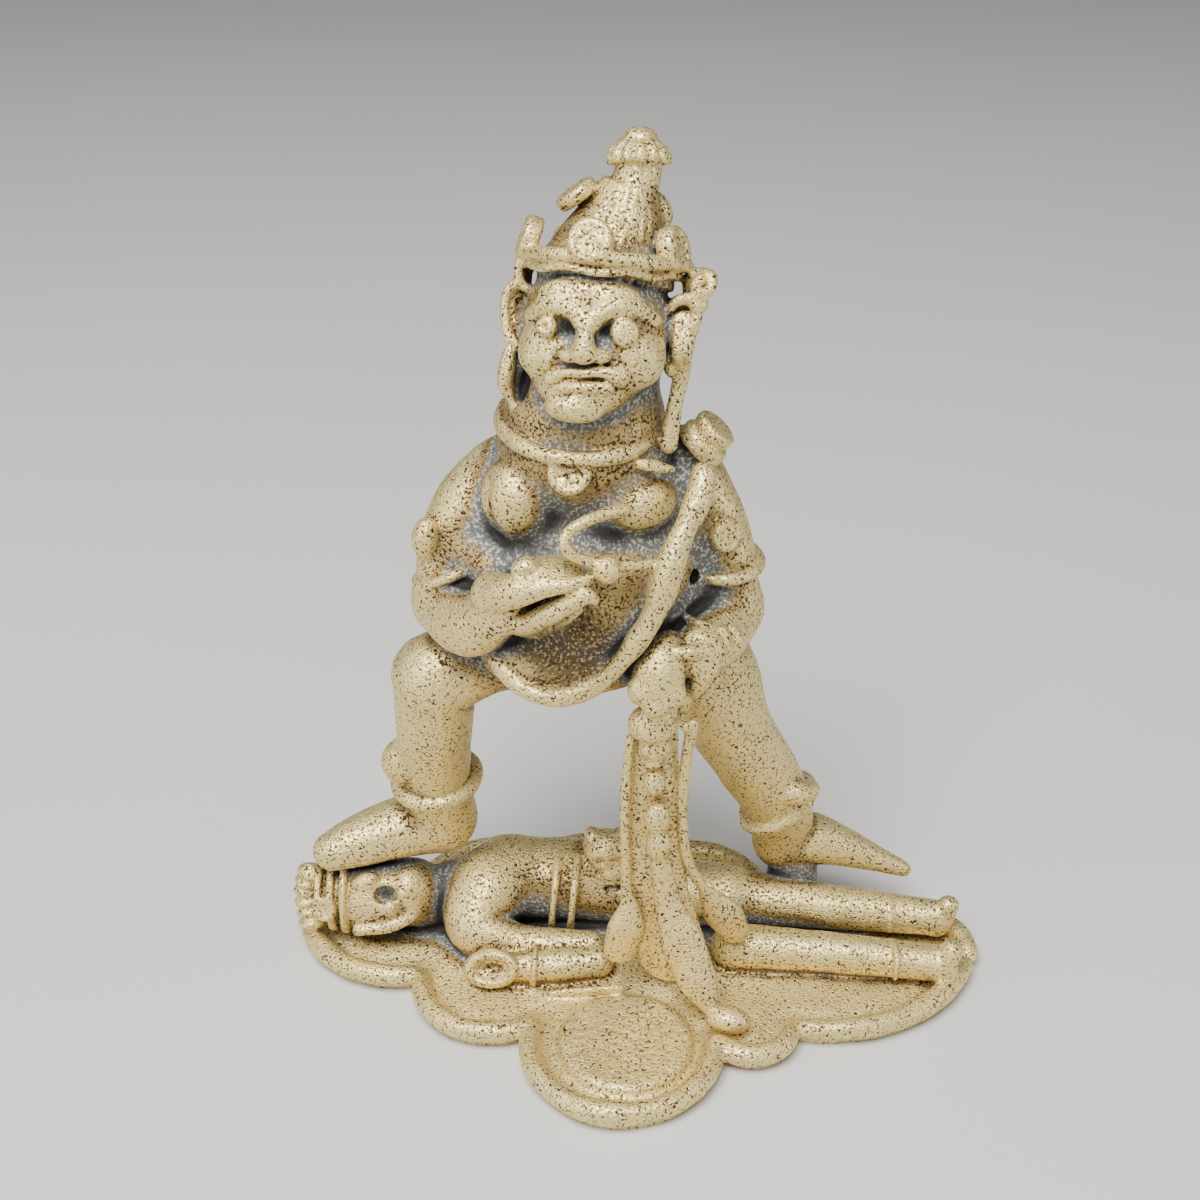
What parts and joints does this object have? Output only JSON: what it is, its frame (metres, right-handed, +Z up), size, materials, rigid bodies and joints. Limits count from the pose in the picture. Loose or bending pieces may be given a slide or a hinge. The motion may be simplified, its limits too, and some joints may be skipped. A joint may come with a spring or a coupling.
{
  "type": "statue",
  "caption": "Small cast brass statue of Jambhala, a pot-bellied standing figure with one foot on a lying figure, on a lobed base.",
  "frame": {"origin": "on the flat underside of the base, below the standing figure's body", "axes": "+Z up, from the underside to the tip of the crown; -Y is the front, which the figure faces; +X is the figure's left, where its straight leg stands"},
  "size_m": [0.0534, 0.032, 0.065],
  "materials": {
    "antique_brass": "cast brass with a dark patina, worn bright on the high places and grey-green in the hollows"
  },
  "bodies": {
    "root": {"jambhala_statue": "antique_brass"}
  },
  "joints": []
}
